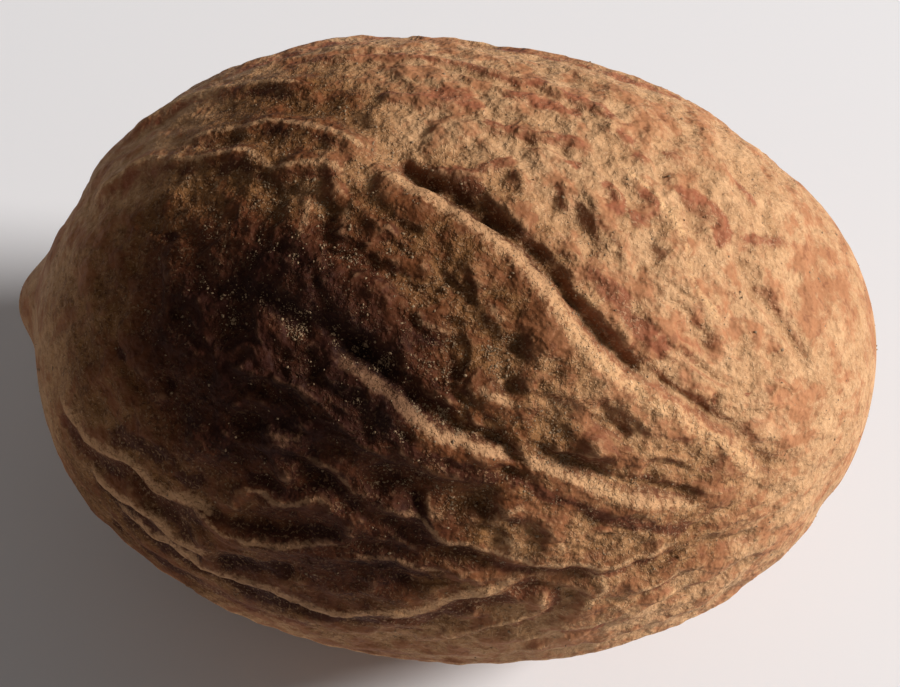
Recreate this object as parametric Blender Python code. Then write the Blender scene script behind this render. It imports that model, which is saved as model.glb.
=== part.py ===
"""A whole nutmeg: one oval kernel with a blunt knob at its stalk end and a deeply wrinkled skin.

Metres, +Z up. The kernel lies on its side with its long axis along X and its stalk end toward -X.
It rests on a small flat spot, and the origin is in the middle of its footprint.

A place on the skin is given as (along, around). Along is the distance in millimetres from the
middle of the kernel's length, toward the tip at +X. Around is in degrees, counted from a line
that runs along the upper front of the kernel: it grows over the top toward the back.
"""
import math
import random
from collections import namedtuple

import bmesh
import bpy
import numpy as np
from mathutils import noise

NAME = "nutmeg"

# The plain kernel, in millimetres. Each end is an oval of its own, from the widest girth out.
WIDEST_ALONG = 0.25
GIRTH_RADIUS = 9.28
TIP_LENGTH = 12.75
STALK_LENGTH = 12.55
TIP_FULLNESS = 2.0
STALK_FULLNESS = 2.28

# How far the two ends lean off the long axis, toward around = 90, and how late the lean starts
TIP_LEAN = 0.45
STALK_LEAN = -0.45
LEAN_POWER = 6

# The knob at the stalk end
KNOB_HEIGHT = 0.75
KNOB_RADIUS = 1.25
KNOB_BLUNTNESS = 2.6
KNOB_OFF_AXIS = 0.65

# Places around the kernel, in degrees
ZERO_LINE_ELEVATION = 58.0
UNDERSIDE = -90.0 - ZERO_LINE_ELEVATION

# Slow unevenness of the whole body, in millimetres
SWELL_SIZE = 5.5
SWELL_HEIGHT = 0.15

# The web of small crests between the large wrinkles. It is drawn out along the kernel, its
# lines run together toward both ends, and it fades out on the ends themselves.
WEB_SIZE = 2.3
WEB_STRETCH = 2.4
WEB_HEIGHT = 0.19
WEB_CREST_SHARE = 0.20
WEB_BEND = 0.9
WEB_BEND_SIZE = 3.0
WEB_BEND_SHIFTS = (0.0, 31.0, 67.0)
WEB_END_RADIUS = 6.5

# The flat spot it rests on, and the smooth skin about that spot
REST_CUT = 0.25
SMOOTH_INNER = 3.0
SMOOTH_OUTER = 6.0

# How a wrinkle is drawn
LINE_STEP = 0.12
END_TAPER = 1.1
REACH = 3.2

# The skin is worked out on a fine sphere, then lightened to about this many triangles
SPHERE_SUBDIVISIONS = 7
TARGET_TRIANGLES = 9200

FLOOR_CUTTER_SIZE = 40.0

# A wrinkle is a thin crest with a shallow hollow beside it. Heights, depths and widths are in
# millimetres. "Above" is the side of larger around, and "below" the side of smaller around.
Wrinkle = namedtuple("Wrinkle", "places crest crest_width above below hollow_width")

FRONT_WRINKLES = {
    "main_crest": Wrinkle(
        [(-2.0, 29.0), (-0.6, 24.8), (0.9, 21.0), (2.0, 18.5), (3.2, 8.2), (4.8, -0.3),
         (6.5, -8.3), (8.2, -15.8), (9.3, -26.0)],
        0.34, 0.50, 0.34, 0.10, 0.75),
    "upper_left_crest": Wrinkle(
        [(-9.8, 59.5), (-8.0, 61.5), (-6.0, 58.0), (-4.0, 52.2)], 0.22, 0.40, 0.0, 0.30, 1.1),
    "top_crest": Wrinkle(
        [(-4.6, 64.0), (-1.0, 63.0), (1.7, 58.0), (3.1, 55.5), (4.7, 48.5)],
        0.24, 0.42, 0.06, 0.20, 0.9),
    "branch_to_main": Wrinkle(
        [(-7.8, 41.5), (-5.7, 42.5), (-4.0, 41.0), (-2.6, 36.7), (-2.0, 30.3)],
        0.20, 0.36, 0.0, 0.30, 0.9),
    "shoulder_crest": Wrinkle(
        [(-10.2, 36.5), (-8.8, 39.0), (-7.0, 35.5), (-5.1, 33.0), (-3.7, 30.9), (-2.3, 27.6)],
        0.22, 0.42, 0.0, 0.16, 1.2),
    "upper_lip": Wrinkle(
        [(-0.6, 30.3), (0.6, 30.5), (2.2, 33.3)], 0.16, 0.34, 0.05, 0.08, 0.6),
    "short_upper_crest": Wrinkle(
        [(0.8, 41.4), (2.0, 41.2), (4.0, 38.9)], 0.18, 0.34, 0.08, 0.12, 0.7),
    "second_crest": Wrinkle(
        [(-1.6, -5.6), (-0.3, -10.8), (1.8, -15.8), (3.6, -19.8), (5.8, -25.5), (8.1, -29.5)],
        0.24, 0.42, 0.34, 0.10, 0.8),
    "third_crest": Wrinkle(
        [(-0.4, -29.2), (1.3, -34.2), (2.6, -37.7), (5.2, -38.7), (7.6, -33.2)],
        0.20, 0.34, 0.04, 0.22, 0.7),
    "left_low_crest": Wrinkle(
        [(-10.7, -28.0), (-9.5, -34.0), (-8.0, -33.0), (-6.8, -37.0), (-5.0, -39.8), (-3.4, -39.5),
         (-1.5, -37.8)],
        0.20, 0.38, 0.22, 0.20, 0.9),
    "left_short_crest": Wrinkle(
        [(-5.0, -32.7), (-3.0, -28.8), (-1.4, -29.4)], 0.16, 0.32, 0.10, 0.16, 0.7),
    "long_low_crest": Wrinkle(
        [(-8.8, -52.0), (-7.4, -54.3), (-5.3, -54.5), (-3.5, -53.7), (-1.3, -55.9), (1.0, -50.5),
         (2.2, -46.3), (3.7, -39.4)],
        0.24, 0.34, 0.08, 0.30, 0.8),
    "hooked_low_crest": Wrinkle(
        [(0.8, -63.0), (2.0, -56.2), (3.4, -54.0), (4.1, -43.0)], 0.20, 0.34, 0.16, 0.16, 0.7),
    "left_edge_crest": Wrinkle(
        [(-10.4, -55.0), (-8.0, -50.0), (-6.2, -53.5)], 0.18, 0.38, 0.16, 0.14, 0.8),
    "right_low_furrow": Wrinkle(
        [(8.0, -38.0), (9.0, -43.0), (9.9, -49.0)], -0.20, 0.45, 0.0, 0.0, 0.8),
    "right_edge_furrow": Wrinkle(
        [(5.0, -60.0), (8.0, -59.0), (10.2, -58.0)], -0.18, 0.40, 0.0, 0.0, 0.8),
    "tip_furrow": Wrinkle(
        [(8.0, 28.0), (9.2, 15.7), (10.2, 6.7), (10.5, -5.0)], -0.14, 0.55, 0.0, 0.0, 0.8),
    "stalk_shoulder_dip": Wrinkle(
        [(-11.0, 125.0), (-11.5, 85.0), (-11.0, 45.0)], -0.34, 0.80, 0.0, 0.0, 0.8),
    "tip_corner_dip": Wrinkle(
        [(11.4, -25.0), (11.9, -75.0), (11.4, -125.0)], -0.42, 0.90, 0.0, 0.0, 0.8),
}

# Wavy crests that run along the back and the underside, from one end to the other
BACK_CREST_COUNT = 14
BACK_FIRST_AROUND = 78.0
BACK_LAST_AROUND = 282.0
BACK_HALF_LENGTH = 10.4
BACK_STEPS = 7
BACK_WAVE = 6.0
BACK_SEED = 5


def unit_around(around):
    """The outward directions across the long axis at these places around, in degrees."""
    angle = np.radians(np.asarray(around, dtype=float) + ZERO_LINE_ELEVATION)
    return np.stack([np.zeros_like(angle), -np.cos(angle), np.sin(angle)], axis=-1)


def plain_radius(along):
    """The plain kernel's radius at these places along it."""
    from_widest = np.asarray(along, dtype=float) - WIDEST_ALONG
    length = np.where(from_widest > 0.0, TIP_LENGTH, STALK_LENGTH)
    fullness = np.where(from_widest > 0.0, TIP_FULLNESS, STALK_FULLNESS)
    share = np.clip(np.abs(from_widest) / length, 0.0, 1.0)
    return GIRTH_RADIUS * np.sqrt(1.0 - share ** fullness)


def plain_place(along, around):
    """Points on the plain kernel at these places."""
    along = np.asarray(along, dtype=float)
    point = unit_around(around) * plain_radius(along)[..., None]
    point[..., 0] = along
    return point


def smooth_line(places):
    """A smooth line over the skin through a wrinkle's places, as closely spaced places."""
    places = np.array(places, dtype=float)
    padded = np.vstack([2 * places[0] - places[1], places, 2 * places[-1] - places[-2]])
    line = []
    for first in range(len(places) - 1):
        before, start, end, after = padded[first:first + 4]
        gap = np.linalg.norm(plain_place(*start) - plain_place(*end))
        count = max(2, math.ceil(gap / LINE_STEP))
        t = (np.arange(count) / count)[:, None]
        line.append(0.5 * (2 * start + (end - before) * t
                           + (2 * before - 5 * start + 4 * end - after) * t ** 2
                           + (3 * start - before - 3 * end + after) * t ** 3))
    line.append(places[-1:])
    return np.vstack(line)


def wrinkle_height(wrinkle, skin):
    """How far one wrinkle raises or lowers each point of the skin."""
    places = smooth_line(wrinkle.places)
    line = plain_place(places[:, 0], places[:, 1])
    forward = np.gradient(line, axis=0)
    forward /= np.linalg.norm(forward, axis=1)[:, None]
    sideways = np.cross(unit_around(places[:, 1]), forward)
    travelled = np.concatenate([[0.0], np.cumsum(np.linalg.norm(np.diff(line, axis=0), axis=1))])
    to_end = np.minimum(travelled, travelled[-1] - travelled) / END_TAPER
    strength = np.sin(np.clip(to_end, 0.0, 1.0) * math.pi / 2) ** 2

    height = np.zeros(len(skin))
    lowest = line.min(axis=0) - REACH
    highest = line.max(axis=0) + REACH
    near = np.flatnonzero(((skin > lowest) & (skin < highest)).all(axis=1))
    offset = skin[near, None, :] - line[None, :, :]
    distance = np.linalg.norm(offset, axis=2)
    nearest = distance.argmin(axis=1)
    row = np.arange(len(near))
    distance = distance[row, nearest]
    is_above = (offset[row, nearest] * sideways[nearest]).sum(axis=1) > 0.0
    crest = wrinkle.crest * np.exp(-(distance / wrinkle.crest_width) ** 2)
    reach = distance / wrinkle.hollow_width
    hollow = np.where(is_above, wrinkle.above, wrinkle.below) * reach * np.exp((1.0 - reach ** 2) / 2)
    height[near] = strength[nearest] * (crest - hollow)
    return height


def back_wrinkles():
    """Wavy crests along the back and the underside, drawn closer together toward both ends."""
    chance = random.Random(BACK_SEED)
    spacing = (BACK_LAST_AROUND - BACK_FIRST_AROUND) / (BACK_CREST_COUNT - 1)
    wrinkles = []
    for index in range(BACK_CREST_COUNT):
        around = BACK_FIRST_AROUND + index * spacing
        start = -BACK_HALF_LENGTH + chance.uniform(0.0, 5.0)
        end = BACK_HALF_LENGTH - chance.uniform(0.0, 5.0)
        phase = chance.uniform(0.0, math.tau)
        drift = chance.uniform(-8.0, 8.0)
        places = []
        for step in range(BACK_STEPS):
            share = step / (BACK_STEPS - 1)
            wave = BACK_WAVE * math.sin(phase + 2.2 * math.pi * share)
            places.append((start + (end - start) * share, around + wave + drift * share))
        crest = chance.uniform(0.12, 0.24)
        above = chance.uniform(0.05, 0.22)
        below = chance.uniform(0.05, 0.22)
        wrinkles.append(Wrinkle(places, crest, 0.42, above, below, 0.9))
    return wrinkles


def swell(points):
    """Smooth noise between -1 and 1 at these points, with features about one unit across."""
    return np.array([noise.noise(point) for point in points])


def web(skin):
    """Small branching crests: where a drawn-out smooth noise passes through zero."""
    radius = np.linalg.norm(skin[:, 1:], axis=1)
    around = skin[:, 1:] * (GIRTH_RADIUS / np.maximum(radius, 1e-9))[:, None]
    bend = np.column_stack([swell(skin / WEB_BEND_SIZE + shift) for shift in WEB_BEND_SHIFTS])
    drawn_out = np.column_stack([skin[:, 0] / WEB_STRETCH, around]) + WEB_BEND * bend
    crest = np.exp(-(swell(drawn_out / WEB_SIZE) / WEB_CREST_SHARE) ** 2)
    fade = np.clip(radius / WEB_END_RADIUS, 0.0, 1.0) ** 2
    return WEB_HEIGHT * fade * (crest - crest.mean())


def smooth_about_rest(skin):
    """1 over the wrinkled skin, falling to 0 over the smooth skin about the rest spot."""
    rest = plain_place(0.0, UNDERSIDE)
    distance = np.linalg.norm(skin - rest, axis=1)
    share = np.clip((distance - SMOOTH_INNER) / (SMOOTH_OUTER - SMOOTH_INNER), 0.0, 1.0)
    return share * share * (3.0 - 2.0 * share)


def knob(skin):
    """How far the knob at the stalk end stands out of the plain kernel, along -X."""
    middle = KNOB_OFF_AXIS * unit_around(90.0)
    off_axis = np.linalg.norm(skin[:, 1:] - middle[1:], axis=1)
    height = KNOB_HEIGHT * np.exp(-(off_axis / KNOB_RADIUS) ** KNOB_BLUNTNESS)
    return np.where(skin[:, 0] < 0.0, height, 0.0)


def lean(skin):
    """How far each point is moved because the two ends lean off the long axis."""
    from_widest = skin[:, 0] - WIDEST_ALONG
    toward_tip = TIP_LEAN * (np.maximum(from_widest, 0.0) / TIP_LENGTH) ** LEAN_POWER
    toward_stalk = STALK_LEAN * (np.maximum(-from_widest, 0.0) / STALK_LENGTH) ** LEAN_POWER
    return (toward_tip + toward_stalk)[:, None] * unit_around(90.0)


def skin_points(sphere):
    """The kernel's skin, in millimetres, for the points of a unit sphere."""
    ring = np.linalg.norm(sphere[:, 1:], axis=1)
    length = np.where(sphere[:, 0] > 0.0, TIP_LENGTH, STALK_LENGTH)
    along = WIDEST_ALONG + length * sphere[:, 0]
    across = sphere[:, 1:] * (plain_radius(along) / np.maximum(ring, 1e-9))[:, None]
    skin = np.column_stack([along, across])

    relief = SWELL_HEIGHT * swell(skin / SWELL_SIZE) + web(skin)
    for wrinkle in [*FRONT_WRINKLES.values(), *back_wrinkles()]:
        relief += wrinkle_height(wrinkle, skin)
    relief *= smooth_about_rest(skin)

    outward = skin / np.array([TIP_LENGTH, GIRTH_RADIUS, GIRTH_RADIUS]) ** 2
    outward /= np.linalg.norm(outward, axis=1)[:, None]
    raised = skin + outward * relief[:, None] + lean(skin)
    raised[:, 0] -= knob(skin)
    return raised


def kernel_mesh():
    """The whole kernel as one closed mesh, its flat spot still to be cut at z = 0."""
    shape = bmesh.new()
    bmesh.ops.create_icosphere(shape, subdivisions=SPHERE_SUBDIVISIONS, radius=1.0)
    skin = skin_points(np.array([vertex.co for vertex in shape.verts]))
    lowest = skin.min(axis=0)
    highest = skin.max(axis=0)
    middle = (lowest + highest) / 2
    middle[2] = lowest[2] + REST_CUT
    for vertex, point in zip(shape.verts, (skin - middle) / 1000.0):
        vertex.co = point
    mesh = bpy.data.meshes.new(NAME)
    shape.to_mesh(mesh)
    shape.free()
    mesh.shade_smooth()
    return mesh


def floor_cutter(collection):
    """A block below z = 0 that cuts the flat spot."""
    size = FLOOR_CUTTER_SIZE / 1000.0
    shape = bmesh.new()
    bmesh.ops.create_cube(shape, size=size)
    mesh = bpy.data.meshes.new("floor_cutter")
    shape.to_mesh(mesh)
    shape.free()
    cutter = bpy.data.objects.new("floor_cutter", mesh)
    cutter.location.z = -size / 2
    cutter.hide_render = True
    cutter.display_type = "WIRE"
    collection.objects.link(cutter)
    return cutter


def skin_material():
    """Dry brown kernel skin."""
    material = bpy.data.materials.new(NAME)
    material.use_nodes = True
    shader = material.node_tree.nodes["Principled BSDF"]
    shader.inputs["Base Color"].default_value = (0.20, 0.10, 0.045, 1.0)
    shader.inputs["Roughness"].default_value = 0.75
    shader.inputs["Metallic"].default_value = 0.0
    return material


def make_collection(name):
    collection = bpy.data.collections.new(name)
    bpy.context.scene.collection.children.link(collection)
    return collection


def build():
    for item in list(bpy.data.objects):
        bpy.data.objects.remove(item, do_unlink=True)
    parts = make_collection(NAME)
    cutters = make_collection("cutters")

    kernel = bpy.data.objects.new(NAME, kernel_mesh())
    kernel.data.materials.append(skin_material())
    parts.objects.link(kernel)

    lighten = kernel.modifiers.new("lighten", "DECIMATE")
    lighten.ratio = TARGET_TRIANGLES / len(kernel.data.polygons)
    cut = kernel.modifiers.new("rest_spot", "BOOLEAN")
    cut.operation = "DIFFERENCE"
    cut.solver = "EXACT"
    cut.object = floor_cutter(cutters)


build()
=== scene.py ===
"""The looks of the whole nutmeg: its wrinkled skin at full detail, its colours, and the studio.

The skin replaces the solid of the frame. It has the same body, follows the same large wrinkles on
the front, and has many small ones besides. The crests of the back and the underside are like the
solid's, but nearly all run another way.
Lengths inside the skin's making are millimetres. A place on the skin is (along, around): along in
millimetres from the middle toward the tip at +X, around in degrees from a line along the upper
front of the kernel, growing over the top toward the back.
"""
import math
import random
from collections import namedtuple

import bmesh
import bpy
import numpy as np
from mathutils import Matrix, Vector, noise


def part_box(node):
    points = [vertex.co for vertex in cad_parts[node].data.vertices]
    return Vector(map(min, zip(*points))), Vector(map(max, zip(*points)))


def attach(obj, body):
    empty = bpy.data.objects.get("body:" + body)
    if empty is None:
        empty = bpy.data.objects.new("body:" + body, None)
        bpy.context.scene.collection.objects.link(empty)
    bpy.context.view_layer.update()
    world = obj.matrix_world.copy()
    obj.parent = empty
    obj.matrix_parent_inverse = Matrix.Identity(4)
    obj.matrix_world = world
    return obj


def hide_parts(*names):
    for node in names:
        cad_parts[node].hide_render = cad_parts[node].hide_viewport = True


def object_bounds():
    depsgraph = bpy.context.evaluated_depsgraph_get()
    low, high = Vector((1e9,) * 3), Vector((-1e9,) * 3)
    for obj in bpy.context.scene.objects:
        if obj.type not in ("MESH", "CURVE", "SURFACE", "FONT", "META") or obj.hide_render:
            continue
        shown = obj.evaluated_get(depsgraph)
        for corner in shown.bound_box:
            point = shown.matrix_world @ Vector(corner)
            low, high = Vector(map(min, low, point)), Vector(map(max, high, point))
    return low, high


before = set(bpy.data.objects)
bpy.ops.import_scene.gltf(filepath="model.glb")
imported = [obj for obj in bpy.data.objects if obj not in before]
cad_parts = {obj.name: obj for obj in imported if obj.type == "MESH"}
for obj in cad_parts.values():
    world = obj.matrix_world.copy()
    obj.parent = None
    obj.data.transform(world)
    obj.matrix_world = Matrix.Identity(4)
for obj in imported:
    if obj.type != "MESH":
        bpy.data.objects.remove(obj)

NODE = "nutmeg"
BODY = "root"
CAD_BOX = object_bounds()
MM = 0.001

# The plain kernel, in millimetres, with part.py's values
WIDEST_ALONG = 0.25
GIRTH_RADIUS = 9.28
TIP_LENGTH = 12.75
STALK_LENGTH = 12.55
TIP_FULLNESS = 2.0
STALK_FULLNESS = 2.28
TIP_LEAN = 0.45
STALK_LEAN = -0.45
LEAN_POWER = 6
KNOB_HEIGHT = 0.75
KNOB_RADIUS = 1.25
KNOB_BLUNTNESS = 2.6
KNOB_OFF_AXIS = 0.65
ZERO_LINE_ELEVATION = 58.0
UNDERSIDE = -90.0 - ZERO_LINE_ELEVATION
REST_CUT = 0.25
SMOOTH_INNER = 3.0
SMOOTH_OUTER = 6.0
SWELL_SIZE = 5.5
SWELL_HEIGHT = 0.15

# The skin's mesh: each side of a cube, cut into this many squares each way. The squares are
# drawn together toward the upper front, where the wrinkles are finest.
SIDE_SQUARES = 128
FINEST_TOWARD = (0.06, -0.53, 0.85)
FINEST_SHIFT = 0.25
UV_MARGIN = 0.012

# Wrinkles are drawn along smooth lines: the spacing of a line's points, the length over which
# each end fades, how far from its line a wrinkle is felt, how strongly it colours the skin, and
# how many of the skin's points are worked out at a time
LINE_STEP = 0.08
END_TAPER = 0.9
REACH = 3.0
PAINT_STRENGTH = 1.3
POINTS_AT_A_TIME = 4000

# No wrinkle is a clean curve. Its line wavers, over such distances and by so much, and it swells
# and sinks along its way, by such a share and over such a distance.
WAVER = ((1.7, 0.12), (0.6, 0.08), (0.3, 0.03))
UNEVENNESS = 0.35
UNEVEN_SIZE = 0.9

# The way the wrinkles run: how steeply they fall around the kernel toward the tip, as bands of
# (around, half width of the band, fall), from the place along where they begin to fall
FLOW_BANDS = ((22.0, 50.0, 0.55), (-65.0, 35.0, -0.15), (200.0, 60.0, -0.30))
FLOW_START = -3.0
FLOW_BEFORE_START = 0.2

# The webs of small crests: feature size, stretch along the wrinkles, height, crest share
WEBS = ((2.4, 1.8, 0.17, 0.42), (1.25, 1.5, 0.12, 0.40))
WEB_BEND = 0.9
WEB_BEND_SIZE = 3.0
WEB_END_RADIUS = 6.5

# Terraces, flats with steep edges: feature size, stretch, levels, share of a level that is
# edge, height of a level
TERRACES = ((2.2, 1.4, 3.0, 0.24, 0.070), (1.2, 1.3, 3.0, 0.32, 0.050))
TERRACE_BEND = 0.8
TERRACE_BEND_SIZE = 1.6

# The terraces' noise has a finer one added: so many times finer, by this share, and read so far
# away
FINER_TIMES = 2.1
FINER_SHARE = 0.5
FINER_SHIFT = 7.0

# The small relief is calmer toward the two ends: where along it begins to calm, where it is
# calmest, and the share of it left there
CALM_ENDS = ((7.5, 11.5, 0.45), (-3.5, -8.5, 0.60))

# The webs and terraces make way for the named wrinkles: by what share, and over what distance
NAMED_CALM = 0.70
NAMED_REACH = 0.7

# How high the small relief stands on the upper front and opposite it, and on the two sides
# between
FRONT_RELIEF = 1.15
SIDE_RELIEF = 0.40

# Granular relief: feature size and height
GRAINS = ((0.60, 0.080), (0.28, 0.050))

# Loose grains in the skin's colour and finest relief: their size
GRAIN_SIZE = 0.09

# How far from a point its noise arrow's three lengths are read
ARROW_SHIFTS = (0.0, 31.0, 67.0)

# Local height is measured against the skin's own average over a near and a wider neighbourhood
NEAR_STEPS = 12
WIDE_STEPS = 160

# A hollow beside a crest is so deep, so far from the crest's line, and so wide. The rust and shade
# band is smooth red-brown skin, and also painted shade where it lies along the steep or shaded side
# of a crest; the worn and highlight band is pale rubbed skin, and also painted highlight where it
# lies on a crest's top or lit side. Each lies so far from the line, reaches so far to both sides, and
# is laid on by so much.
Hollow = namedtuple("Hollow", "depth offset width")
Band = namedtuple("Band", "offset reach share", defaults=[1.0])
Profile = namedtuple("Profile", "crest above_width below_width above below rust worn")

PROFILES = {
    # a broad round lip, pale on its upper side from rubbed skin and painted highlight, with a deep
    # furrow above it
    "lip": Profile(0.25, 0.45, 1.05, Hollow(0.42, 0.76, 0.26), None, None, Band(0.26, 0.24)),
    "low_lip": Profile(0.16, 0.34, 0.60, Hollow(0.26, 0.58, 0.26), None, Band(-0.50, 0.20),
                       Band(0.22, 0.14)),
    # a thin crest, steep on its lower side
    "ridge": Profile(0.14, 0.32, 0.20, None, Hollow(0.10, 0.42, 0.30), Band(-0.32, 0.22, 0.7),
                     Band(0.04, 0.09, 0.8)),
    # a broad crest with a pale edge, over brown skin and painted shade
    "arc": Profile(0.17, 0.50, 0.36, None, Hollow(0.05, 0.66, 0.40), Band(-0.34, 0.30, 0.6),
                   Band(0.03, 0.10)),
    # a thin crest, steep on its upper side
    "rim": Profile(0.13, 0.20, 0.42, Hollow(0.11, 0.40, 0.28), None, Band(0.26, 0.14),
                   Band(-0.06, 0.09)),
    # a round edge over a wide valley
    "scarp": Profile(0.12, 0.90, 0.32, None, Hollow(0.18, 0.70, 0.50), Band(-0.50, 0.30), None),
    # a long crest over a dark red-brown trough
    "sweep": Profile(0.14, 0.45, 0.20, None, Hollow(0.13, 0.50, 0.36), Band(-0.46, 0.34),
                     Band(0.12, 0.17)),
    # a thin red-brown cord
    "cord": Profile(0.09, 0.24, 0.18, None, Hollow(0.05, 0.34, 0.22), Band(0.08, 0.20, 0.9), None),
    "fold": Profile(0.15, 0.42, 0.38, None, None, None, Band(0.0, 0.10)),
    "valley": Profile(-0.26, 0.60, 0.60, None, None, None, None),
    "groove": Profile(-0.17, 0.28, 0.28, None, None, None, None),
    "slit": Profile(-0.14, 0.20, 0.20, None, None, Band(0.0, 0.11), None),
    # a shallow trough of dark red-brown skin
    "trough": Profile(-0.14, 0.36, 0.36, None, None, Band(0.0, 0.30), None),
    "rust": Profile(0.0, 1.0, 1.0, None, None, Band(0.0, 0.30), None),
}

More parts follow.
